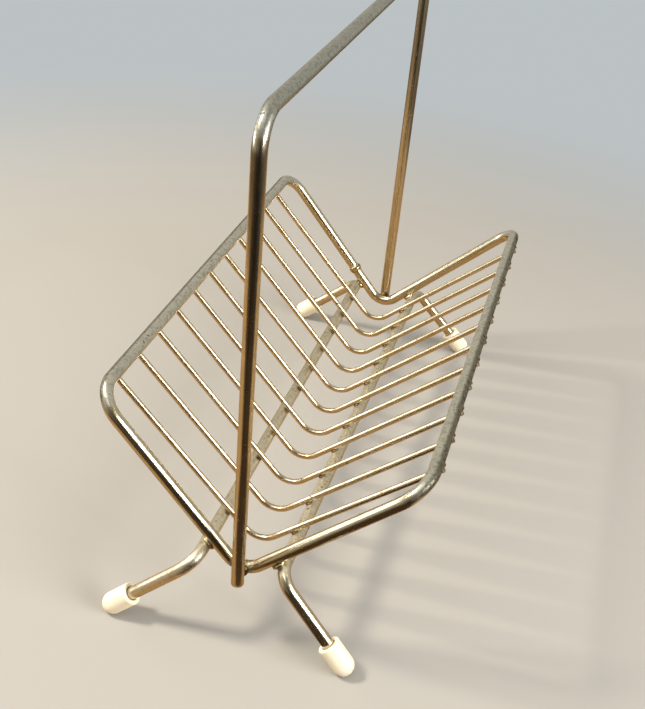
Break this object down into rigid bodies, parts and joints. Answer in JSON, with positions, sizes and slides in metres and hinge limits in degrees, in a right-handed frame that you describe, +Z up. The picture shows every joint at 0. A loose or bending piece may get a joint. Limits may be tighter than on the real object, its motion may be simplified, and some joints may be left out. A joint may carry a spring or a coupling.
{
  "type": "magazine rack",
  "caption": "Tabletop magazine rack of brass-plated steel rod: V-shaped wire trough, tall carrying hoop and splayed feet with vinyl caps.",
  "frame": {"origin": "on the floor under the middle of the rack, at the bottom centre of its bounding box", "axes": "+Z up, Y along the trough and under the carrying bar, X across the trough from rail to rail"},
  "size_m": [0.1648, 0.3282, 0.2689],
  "materials": {
    "rod_plate": "worn brass plate on steel rod",
    "wire_plate": "brass plate on steel wire",
    "weld_metal": "plated weld bead",
    "cap_vinyl": "moulded ivory vinyl"
  },
  "bodies": {
    "root": {"rim_frame": "rod_plate", "handle_hoop": "rod_plate", "leg_rod_left": "rod_plate", "leg_rod_right": "rod_plate", "vee_wire_01": "wire_plate", "vee_wire_02": "wire_plate", "vee_wire_03": "wire_plate", "vee_wire_04": "wire_plate", "vee_wire_05": "wire_plate", "vee_wire_06": "wire_plate", "vee_wire_07": "wire_plate", "vee_wire_08": "wire_plate", "vee_wire_09": "wire_plate", "vee_wire_10": "wire_plate", "vee_wire_11": "wire_plate", "foot_cap_front_left": "cap_vinyl", "foot_cap_front_right": "cap_vinyl", "foot_cap_back_left": "cap_vinyl", "foot_cap_back_right": "cap_vinyl", "handle_weld_front": "weld_metal", "handle_weld_back": "weld_metal", "leg_weld_front_left": "weld_metal", "leg_weld_front_right": "weld_metal", "leg_weld_back_left": "weld_metal", "leg_weld_back_right": "weld_metal", "rim_butt_weld": "weld_metal"}
  },
  "joints": []
}
